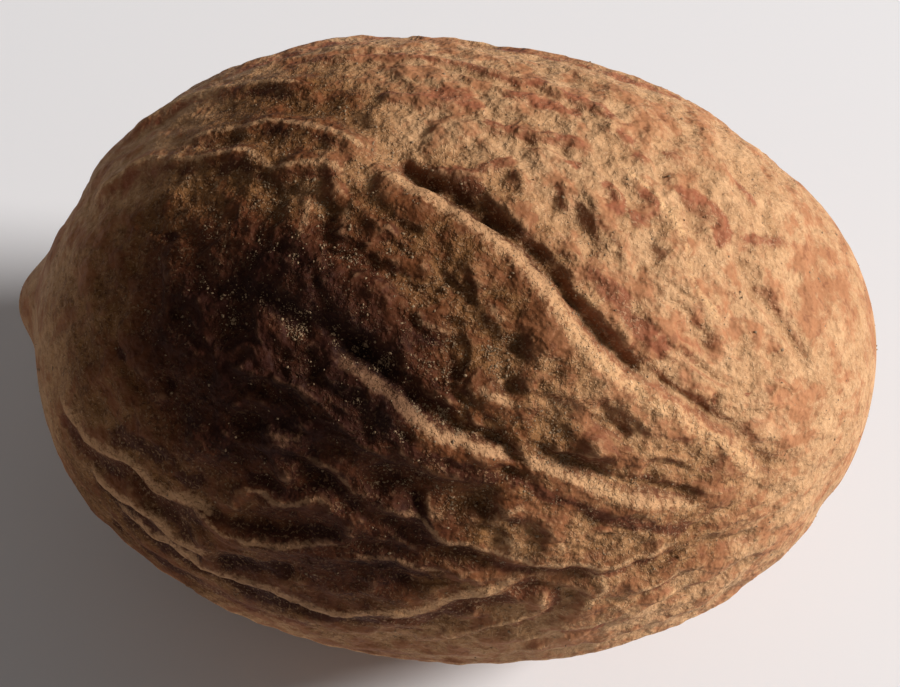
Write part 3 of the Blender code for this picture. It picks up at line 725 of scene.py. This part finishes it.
def lay_out_uv(mesh, corners):
    """The cube's six sides side by side in the UV square, three across and two up."""
    layer = mesh.uv_layers.new(name="OFBake")
    loop_vertex = np.empty(len(mesh.loops), dtype=np.int32)
    mesh.loops.foreach_get("vertex_index", loop_vertex)
    sides = np.empty(len(mesh.polygons) * 3)
    mesh.polygons.foreach_get("normal", sides)
    sides = sides.reshape(-1, 3)
    axis = np.abs(sides).argmax(axis=1)
    row = (sides[np.arange(len(axis)), axis] > 0.0).astype(int)
    axis_of_loop = np.repeat(axis, 4)
    row_of_loop = np.repeat(row, 4)
    point = corners[loop_vertex]
    every = np.arange(len(point))
    first = point[every, (axis_of_loop + 1) % 3]
    second = point[every, (axis_of_loop + 2) % 3]
    # X runs up the tile on every side that it lies in, where the tile is longer
    swap = axis_of_loop == 2
    first, second = np.where(swap, second, first), np.where(swap, first, second)
    across = 0.5 + 0.5 * first * (1.0 - UV_MARGIN)
    up = 0.5 + 0.5 * second * (1.0 - UV_MARGIN)
    uv = np.column_stack([(axis_of_loop + across) / 3.0, (row_of_loop + up) / 2.0])
    layer.data.foreach_set("uv", uv.ravel())


def add_attribute(mesh, name, values):
    attribute = mesh.attributes.new(name, "FLOAT", "POINT")
    attribute.data.foreach_set("value", values.astype(np.float32))


def drawn_together(sphere):
    """The unit sphere's points drawn together toward one side, with no shear."""
    pull = -FINEST_SHIFT * np.array(FINEST_TOWARD) / np.linalg.norm(FINEST_TOWARD)
    offset = sphere - pull
    spread = (offset ** 2).sum(axis=1)
    return (1.0 - pull @ pull) * offset / spread[:, None] - pull


def build_skin():
    """The kernel's skin as one closed mesh in the place of the frame's solid."""
    mesh = cube_mesh("nutmeg_skin")
    corners = np.empty(len(mesh.vertices) * 3)
    mesh.vertices.foreach_get("co", corners)
    corners = corners.reshape(-1, 3)
    lay_out_uv(mesh, corners)
    evened = np.tan(corners * math.pi / 4)
    sphere = drawn_together(evened / np.linalg.norm(evened, axis=1)[:, None])

    skin = plain_skin(sphere)
    flowing = flow(skin)
    relief, rust, worn = relief_of(skin, flowing)
    outward = skin / np.array([TIP_LENGTH, GIRTH_RADIUS, GIRTH_RADIUS]) ** 2
    outward /= np.linalg.norm(outward, axis=1)[:, None]
    raised = skin + outward * relief[:, None] + lean(skin)
    raised[:, 0] -= knob(skin)

    low, high = (np.array(corner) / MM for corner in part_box(NODE))
    middle = (raised.min(axis=0) + raised.max(axis=0)) / 2
    middle[2] = raised[:, 2].min() + REST_CUT
    home = (low + high) / 2
    home[2] = low[2]
    raised += home - middle
    raised[:, 2] = np.maximum(raised[:, 2], low[2])
    mesh.vertices.foreach_set("co", (raised * MM).ravel())

    edges = np.empty(len(mesh.edges) * 2, dtype=np.int32)
    mesh.edges.foreach_get("vertices", edges)
    edges = edges.reshape(-1, 2)
    add_attribute(mesh, "near_height", relief - neighbour_average(relief, edges, NEAR_STEPS))
    wide = relief - neighbour_average(relief, edges, WIDE_STEPS)
    add_attribute(mesh, "wide_height", wide)
    mesh.update()
    normals = np.empty(len(mesh.vertices) * 3)
    mesh.vertex_normals.foreach_get("vector", normals)
    upright = np.clip((normals.reshape(-1, 3) * outward).sum(axis=1), 0.0, 1.0)
    add_attribute(mesh, "steepness", np.sqrt(1.0 - upright ** 2))
    add_attribute(mesh, "rust", rust)
    add_attribute(mesh, "worn", worn)
    add_attribute(mesh, "depth", depth_of(skin))
    flow_place = mesh.attributes.new("flow_place", "FLOAT_VECTOR", "POINT")
    flow_place.data.foreach_set("vector", flowing.astype(np.float32).ravel())
    mesh.shade_smooth()
    skin_piece = bpy.data.objects.new("nutmeg_skin", mesh)
    bpy.context.scene.collection.objects.link(skin_piece)
    return skin_piece, raised, normals.reshape(-1, 3), wide


# --- materials -----------------------------------------------------------------------------

def srgb(red, green, blue):
    """A linear colour from display values of 0 to 255."""
    def linear(value):
        share = value / 255.0
        return share / 12.92 if share <= 0.04045 else ((share + 0.055) / 1.055) ** 2.4
    return (linear(red), linear(green), linear(blue), 1.0)


class Nodes:
    """A short way to write a material's node tree."""

    def __init__(self, name):
        self.material = bpy.data.materials.new(name)
        self.material.use_nodes = True
        self.tree = self.material.node_tree
        self.shader = self.tree.nodes["Principled BSDF"]

    def node(self, kind, **settings):
        made = self.tree.nodes.new(kind)
        for key, value in settings.items():
            setattr(made, key, value)
        return made

    def put(self, value, socket):
        """Give a socket a value, or link it to another socket."""
        if isinstance(value, bpy.types.NodeSocket):
            self.tree.links.new(value, socket)
        else:
            socket.default_value = value

    def attribute(self, name, output="Fac"):
        return self.node("ShaderNodeAttribute", attribute_name=name).outputs[output]

    def math(self, operation, *values):
        made = self.node("ShaderNodeMath", operation=operation)
        for index, value in enumerate(values):
            self.put(value, made.inputs[index])
        return made.outputs[0]

    def spread(self, value, low, high):
        """0 where the value is low, 1 where it is high, and smooth between."""
        made = self.node("ShaderNodeMapRange", interpolation_type="SMOOTHSTEP")
        self.put(value, made.inputs["Value"])
        made.inputs["From Min"].default_value = low
        made.inputs["From Max"].default_value = high
        return made.outputs["Result"]

    def mix(self, share, under, over, blend="MIX"):
        made = self.node("ShaderNodeMix", data_type="RGBA", blend_type=blend)
        self.put(share, made.inputs[0])
        self.put(under, made.inputs[6])
        self.put(over, made.inputs[7])
        return made.outputs[2]

    def tint(self, share, under, tint):
        """The colour multiplied by a linear tint, by this share."""
        return self.mix(share, under, (*tint, 1.0), "MULTIPLY")

    def scaled(self, vector, *scale):
        made = self.node("ShaderNodeMapping")
        made.inputs["Scale"].default_value = scale
        self.put(vector, made.inputs["Vector"])
        return made.outputs["Vector"]

    def place(self):
        """Object coordinates in millimetres."""
        return self.scaled(self.node("ShaderNodeTexCoord").outputs["Object"], *[1.0 / MM] * 3)

    def ramp(self, share, *colours):
        """Run evenly through the colours as the share goes from 0 to 1."""
        made = self.node("ShaderNodeValToRGB")
        self.put(share, made.inputs["Fac"])
        stops = made.color_ramp.elements
        while len(stops) < len(colours):
            stops.new(0.5)
        for index, colour in enumerate(colours):
            stops[index].position = index / (len(colours) - 1)
            stops[index].color = colour
        return made.outputs["Color"]

    def noise(self, vector, size, detail=3.0, roughness=0.6, distortion=0.0):
        made = self.node("ShaderNodeTexNoise")
        self.put(vector, made.inputs["Vector"])
        made.inputs["Scale"].default_value = 1.0 / size
        made.inputs["Detail"].default_value = detail
        made.inputs["Roughness"].default_value = roughness
        made.inputs["Distortion"].default_value = distortion
        return made.outputs["Fac"]


def skin_material():
    """Dry skin: smooth red-brown on the folds, with sandy hollows and pale rubbed crests; with
    painted shade in the hollows, on steep walls and on the kernel's shaded side, and painted
    highlights on the crests.
    """
    make = Nodes("nutmeg_skin")
    even = make.place()
    flowing = make.attribute("flow_place", "Vector")
    drawn = make.scaled(flowing, 1.0 / 1.4, 1.0, 1.0)
    near = make.attribute("near_height")
    wide = make.attribute("wide_height")
    steepness = make.attribute("steepness")

    blotches = make.noise(even, 1.3, 5.0, 0.65, 0.5)
    # painted shade: depth is partly painted shade, so every colour ramp over it below is darker where
    # the kernel is in shade
    depth = make.math("ADD", make.attribute("depth"), make.math("MULTIPLY_ADD", blotches, 0.6, -0.3))
    colour = make.ramp(depth, srgb(188, 146, 106), srgb(162, 119, 80), srgb(118, 79, 44),
                       srgb(84, 44, 21), srgb(52, 23, 9))

    # sandy skin: grains of every tone, and what frays the edges of the other colours
    tone = make.math("MULTIPLY_ADD", make.noise(even, 0.22, 3.0, 0.75), 1.8, -0.40)
    edges = make.math("MULTIPLY_ADD", tone, 0.9, -0.45)
    fine = make.math("MULTIPLY_ADD", make.noise(even, 0.3, 4.0, 0.7), 0.8, -0.4)

    # smooth skin over the folds and in patches between them, with darker mottles
    patch = make.math("ADD", make.math("MULTIPLY", wide, 1.4),
                      make.math("MULTIPLY_ADD", make.noise(drawn, 1.5, 4.0, 0.6, 0.6), 1.1, -0.55))
    patch = make.math("ADD", patch,
                      make.math("MULTIPLY_ADD", make.noise(even, 0.8, 3.0, 0.6), 1.0, -0.5))
    patch = make.spread(make.math("ADD", patch, make.math("MULTIPLY", fine, 0.6)), -0.10, 0.20)
    smooth = make.ramp(depth, srgb(164, 108, 72), srgb(108, 60, 32), srgb(46, 17, 7))
    mottles = make.spread(make.noise(even, 0.34, 3.0, 0.6, 0.4), 0.56, 0.63)
    smooth = make.tint(make.math("MULTIPLY", mottles, 0.8), smooth, (0.62, 0.50, 0.48))
    colour = make.mix(make.math("MULTIPLY", patch, 0.85), colour, smooth)

    # the sand is most mixed where the skin is dark
    sandy = make.math("SUBTRACT", 1.0, make.math("MULTIPLY", patch, 0.8))
    sandy = make.math("MULTIPLY", sandy,
                      make.math("MULTIPLY_ADD", make.spread(depth, 0.0, 0.5), 0.6, 0.4))
    dark = make.math("MULTIPLY", make.spread(tone, 0.50, 0.28), sandy)
    colour = make.tint(dark, colour, (0.54, 0.46, 0.41))
    pale = make.math("MULTIPLY", make.spread(tone, 0.54, 0.76), sandy)
    colour = make.tint(pale, colour, (1.28, 1.32, 1.36))

    # red-brown skin along the wrinkles and in streaks, partly painted shade, and painted shade as
    # dark red-brown on every steep wall
    streaks = make.math("MULTIPLY_ADD", make.noise(drawn, 0.7, 3.0, 0.6), 2.6, -0.3)
    rust = make.math("ADD", make.math("MULTIPLY", make.attribute("rust"), streaks), fine)
    rust = make.spread(rust, 0.26, 0.70)
    steep_walls_red_and_shade = make.math("MULTIPLY", make.spread(steepness, 0.35, 0.75), 0.8)
    rust = make.math("MULTIPLY", make.math("MAXIMUM", steep_walls_red_and_shade, rust), 0.85)
    red = make.ramp(depth, srgb(144, 82, 55), srgb(60, 25, 11), srgb(36, 13, 5))
    colour = make.mix(rust, colour, red)

    # painted shade: the hollows are darkened by how far they lie below their surroundings
    hollow = make.spread(wide, -0.03, -0.26)
    colour = make.tint(make.math("MULTIPLY", hollow, 0.7), colour, (0.56, 0.50, 0.44))

    # pale rubbed skin on the crests, partly painted highlight, and painted highlight on the raised
    # skin
    crest = make.spread(make.math("ADD", make.attribute("worn"), edges), 0.20, 0.85)
    crest = make.math("MAXIMUM", crest, make.math("MULTIPLY", make.spread(near, 0.02, 0.08), 0.5))
    worn = make.ramp(depth, srgb(212, 167, 119), srgb(196, 150, 108), srgb(104, 72, 50))
    worn = make.tint(make.spread(tone, 0.5, 0.2), worn, (0.6, 0.55, 0.5))
    colour = make.mix(make.math("MULTIPLY", crest, 0.72), colour, worn)

    # loose grains that stand up from the sandy skin and the pale crests
    grains = make.spread(make.noise(even, GRAIN_SIZE, 1.0, 0.5), 0.55, 0.66)
    grains = make.math("MULTIPLY", grains, make.math("MAXIMUM", sandy, crest))
    straw = make.ramp(depth, srgb(222, 184, 144), srgb(168, 128, 92), srgb(88, 60, 40))
    colour = make.mix(make.math("MULTIPLY", grains, 0.5), colour, straw)
    make.put(colour, make.shader.inputs["Base Color"])

    make.shader.inputs["Roughness"].default_value = 0.72
    make.shader.inputs["Specular IOR Level"].default_value = 0.12

    rough = make.math("ADD", make.math("MULTIPLY", make.noise(even, 0.50, 2.0, 0.6), 0.22),
                      make.math("MULTIPLY", make.noise(even, 0.16, 3.0, 0.7),
                                make.math("MULTIPLY", sandy, 0.08)))
    rough = make.math("ADD", rough, make.math("MULTIPLY", grains, 0.030))
    bump = make.node("ShaderNodeBump")
    bump.inputs["Strength"].default_value = 1.0
    bump.inputs["Distance"].default_value = MM
    make.put(rough, bump.inputs["Height"])
    make.put(bump.outputs["Normal"], make.shader.inputs["Normal"])
    return make.material


def dust_material():
    make = Nodes("nutmeg_dust")
    even = make.place()
    colour = make.mix(make.noise(even, 0.3), srgb(96, 70, 46), srgb(152, 124, 90))
    make.put(colour, make.shader.inputs["Base Color"])
    make.shader.inputs["Roughness"].default_value = 0.7
    return make.material


def floor_material():
    make = Nodes("floor")
    make.shader.inputs["Base Color"].default_value = srgb(228, 227, 228)
    make.shader.inputs["Roughness"].default_value = 0.9
    return make.material


# --- the dust ------------------------------------------------------------------------------

def build_dust(points, outward, wide):
    """Tiny pale grains, joined in one mesh, most in the hollows, each over half sunk."""
    chance = random.Random(DUST_SEED)
    weight = np.clip((DUST_TOP - wide) / DUST_DEPTH, DUST_LEAST, 1.0)
    for middle, radius, strength in DUST_SPOTS:
        off_middle = np.linalg.norm(points - middle, axis=1)
        weight *= 1.0 + strength * np.exp(-(off_middle / radius) ** 2)
    weight *= np.exp(DUST_CLUMPING * smooth_noise(points / DUST_CLUMP_SIZE))
    weight *= points[:, 2] > DUST_LOWEST
    picked = chance.choices(range(len(points)), weights=weight.tolist(), k=DUST_COUNT)
    grain = bmesh.new()
    bmesh.ops.create_icosphere(grain, subdivisions=1, radius=1.0)
    shape = np.array([vertex.co for vertex in grain.verts])
    triangles = np.array([[vertex.index for vertex in face.verts] for face in grain.faces])
    grain.free()
    vertices = []
    faces = []
    for number, index in enumerate(picked):
        size = DUST_SMALLEST + (DUST_LARGEST - DUST_SMALLEST) * chance.random() ** DUST_RARITY
        squash = np.array([chance.uniform(*DUST_SQUASH) for _ in range(3)])
        knobbly = np.array([[chance.uniform(*DUST_KNOBS)] for _ in shape])
        nudge = np.array([chance.uniform(-DUST_NUDGE, DUST_NUDGE) for _ in range(3)])
        nudge -= outward[index] * (nudge @ outward[index] + DUST_SINK * size)
        vertices.append((points[index] + nudge + shape * knobbly * size * squash) * MM)
        faces.append(triangles + number * len(shape))
    mesh = bpy.data.meshes.new("nutmeg_dust")
    mesh.from_pydata(np.vstack(vertices).tolist(), [], np.vstack(faces).tolist())
    mesh.shade_smooth()
    piece = bpy.data.objects.new("nutmeg_dust", mesh)
    bpy.context.scene.collection.objects.link(piece)
    return piece


# --- the studio ----------------------------------------------------------------------------

def aim(item, target):
    item.rotation_euler = (Vector(target) - item.location).to_track_quat("-Z", "Y").to_euler()


def camera_axes():
    """The camera's right, up and backward directions."""
    azimuth = math.radians(CAMERA_AZIMUTH)
    elevation = math.radians(CAMERA_ELEVATION)
    back = Vector((math.sin(azimuth) * math.cos(elevation),
                   -math.cos(azimuth) * math.cos(elevation), math.sin(elevation)))
    right = Vector((math.cos(azimuth), math.sin(azimuth), 0.0))
    return right, back.cross(right), back


def add_camera(middle):
    right, up, back = camera_axes()
    data = bpy.data.cameras.new("camera")
    data.lens = LENS
    data.sensor_width = SENSOR
    data.clip_start = 0.001
    camera = bpy.data.objects.new("camera", data)
    bpy.context.scene.collection.objects.link(camera)
    target = middle + (AIM_RIGHT * right + AIM_UP * up) * MM
    camera.location = target + back * FRAME_WIDTH * MM * LENS / SENSOR
    aim(camera, target)
    bpy.context.scene.camera = camera


def add_area_light(name, direction, distance, size, power, colour, middle):
    data = bpy.data.lights.new(name, "AREA")
    data.shape = "DISK"
    data.size = size
    data.energy = power
    data.color = colour
    light = bpy.data.objects.new(name, data)
    bpy.context.scene.collection.objects.link(light)
    light.location = middle + Vector(direction).normalized() * distance
    aim(light, middle)


def add_lights(middle):
    azimuth = math.radians(KEY_AZIMUTH)
    elevation = math.radians(KEY_ELEVATION)
    key = (math.cos(azimuth) * math.cos(elevation), math.sin(azimuth) * math.cos(elevation),
           math.sin(elevation))
    add_area_light("key", key, KEY_DISTANCE, KEY_SIZE, KEY_POWER, KEY_COLOUR, middle)
    world = bpy.data.worlds.new("studio")
    world.use_nodes = True
    background = world.node_tree.nodes["Background"]
    background.inputs["Color"].default_value = SKY_COLOUR
    background.inputs["Strength"].default_value = SKY_STRENGTH
    bpy.context.scene.world = world
    bpy.context.scene.view_settings.view_transform = "Standard"


def add_floor(level):
    bpy.ops.mesh.primitive_plane_add(size=FLOOR_SIZE, location=(0.0, 0.0, level))
    floor = bpy.context.object
    floor.name = "floor"
    floor.data.materials.append(floor_material())


def build():
    skin, points, normals, wide = build_skin()
    skin.data.materials.append(skin_material())
    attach(skin, BODY)
    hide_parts(NODE)

    dust = build_dust(points, normals, wide)
    dust.data.materials.append(dust_material())
    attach(dust, BODY)

    low, high = (Vector(corner) for corner in CAD_BOX)
    middle = (low + high) / 2
    add_floor(low.z)
    add_camera(middle)
    add_lights(middle)


build()
